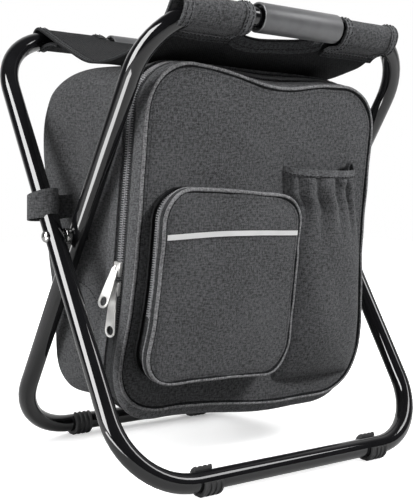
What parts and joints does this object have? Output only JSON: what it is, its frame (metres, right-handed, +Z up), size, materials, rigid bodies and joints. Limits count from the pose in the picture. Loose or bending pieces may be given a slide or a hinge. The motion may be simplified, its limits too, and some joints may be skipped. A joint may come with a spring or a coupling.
{
  "type": "folding cooler stool",
  "caption": "Folding stool of crossed steel hoops with a cloth sling seat, and under it an insulated bag with a zipped front flap, pockets and shoulder straps.",
  "frame": {"origin": "on the floor, under the middle of the stool's feet", "axes": "+Z up; -Y is the side of the bag's flap and pockets; +X is the right of someone facing the flap"},
  "size_m": [0.396, 0.2856, 0.4324],
  "materials": {
    "tube_black": "gloss powder coat",
    "rivet_steel": "plated",
    "foot_rubber": "matte, moulded ribs",
    "grip_plastic": "satin",
    "canvas": "woven polyester",
    "canvas_dark": "woven polyester",
    "piping_grey": "bound edge",
    "zip_tape": "woven tape with moulded teeth",
    "strip_pale": "reflective tape",
    "foam_white": "closed-cell foam sheet",
    "liner_silver": "wipe-clean film",
    "pull_nickel": "polished nickel plate",
    "webbing_black": "woven webbing",
    "buckle_black": "moulded"
  },
  "bodies": {
    "outer_frame": {"outer_hoop": "tube_black", "outer_foot_left": "foot_rubber", "outer_foot_right": "foot_rubber", "rear_sleeve_left": "canvas", "rear_sleeve_right": "canvas", "pivot_rivet_left": "rivet_steel", "pivot_rivet_right": "rivet_steel", "pivot_spacer_left": "rivet_steel", "pivot_spacer_right": "rivet_steel"},
    "inner_frame": {"inner_hoop": "tube_black", "inner_foot_left": "foot_rubber", "inner_foot_right": "foot_rubber", "front_sleeve_left": "canvas", "front_sleeve_right": "canvas"},
    "front_grip": {"front_grip": "grip_plastic"},
    "rear_grip": {"rear_grip": "grip_plastic"},
    "bag": {"bag_shell": "canvas", "bag_insulation": "foam_white", "bag_liner": "liner_silver", "zip_tape_body": "zip_tape", "seat_sling": "canvas", "leg_strap_left": "canvas_dark", "leg_strap_right": "canvas_dark", "shoulder_pad_left": "canvas_dark", "shoulder_pad_right": "canvas_dark", "strap_webbing_left": "webbing_black", "strap_webbing_right": "webbing_black", "strap_buckle_left": "buckle_black", "strap_buckle_right": "buckle_black"},
    "front_flap": {"flap_panel": "canvas", "flap_insulation": "foam_white", "flap_liner": "liner_silver", "flap_piping": "piping_grey", "zip_tape_flap": "zip_tape", "bottle_pocket": "canvas", "bottle_elastic": "canvas_dark", "pocket_gusset": "canvas", "pocket_zip_base": "zip_tape"},
    "pocket_flap": {"pocket_cover": "canvas", "pocket_piping": "piping_grey", "pocket_strip": "strip_pale", "pocket_zip_cover": "zip_tape"},
    "zip_slider_upper": {"zip_slider_upper": "pull_nickel"},
    "zip_slider_lower": {"zip_slider_lower": "pull_nickel"},
    "zip_pull_upper": {"zip_pull_upper": "pull_nickel"},
    "zip_pull_lower": {"zip_pull_lower": "pull_nickel"},
    "pocket_zip_slider": {"pocket_zip_slider": "pull_nickel"}
  },
  "joints": [
    {"name": "fold", "type": "hinge", "parent": "outer_frame", "child": "inner_frame", "pos_m": [0, 0, 0.22158], "axis": [-1, 0, 0], "range_deg": [0, 56], "deforming": ["seat_sling", "leg_strap_left", "leg_strap_right"]},
    {"name": "bag_follow", "type": "hinge", "parent": "outer_frame", "child": "bag", "pos_m": [0, 0, 0.22158], "axis": [-1, 0, 0], "range_deg": [0, 28]},
    {"name": "flap_open", "type": "hinge", "parent": "bag", "child": "front_flap", "pos_m": [0, -0.03157, 0.07153], "axis": [1, 0, 0], "range_deg": [0, 55]},
    {"name": "pocket_open", "type": "hinge", "parent": "front_flap", "child": "pocket_flap", "pos_m": [0, -0.07169, 0.09809], "axis": [1, 0, 0], "range_deg": [0, 25]},
    {"name": "zip_upper", "type": "slide", "parent": "bag", "child": "zip_slider_upper", "axis": [0, -0.1149, 0.9934], "range_m": [0, 0.07]},
    {"name": "zip_lower", "type": "slide", "parent": "bag", "child": "zip_slider_lower", "axis": [0, -0.1149, 0.9934], "range_m": [-0.04, 0]},
    {"name": "pull_upper", "type": "hinge", "parent": "zip_slider_upper", "child": "zip_pull_upper", "pos_m": [-0.144, -0.04565, 0.19322], "axis": [0, 0.9934, 0.1149], "range_deg": [0, 26]},
    {"name": "pull_lower", "type": "hinge", "parent": "zip_slider_lower", "child": "zip_pull_lower", "pos_m": [-0.144, -0.04358, 0.17534], "axis": [0, 0.9934, 0.1149], "range_deg": [0, 28]},
    {"name": "pocket_zip", "type": "slide", "parent": "front_flap", "child": "pocket_zip_slider", "axis": [0, -0.1149, 0.9934], "range_m": [-0.05, 0.035]},
    {"name": "front_grip_turn", "type": "hinge", "parent": "inner_frame", "child": "front_grip", "pos_m": [0, -0.12251, 0.41895], "axis": [1, 0, 0], "continuous": true},
    {"name": "rear_grip_turn", "type": "hinge", "parent": "outer_frame", "child": "rear_grip", "pos_m": [0, 0.12251, 0.41895], "axis": [1, 0, 0], "continuous": true}
  ],
  "couplings": [
    {"joint": "bag_follow", "follows": "fold", "ratio": 0.5}
  ]
}
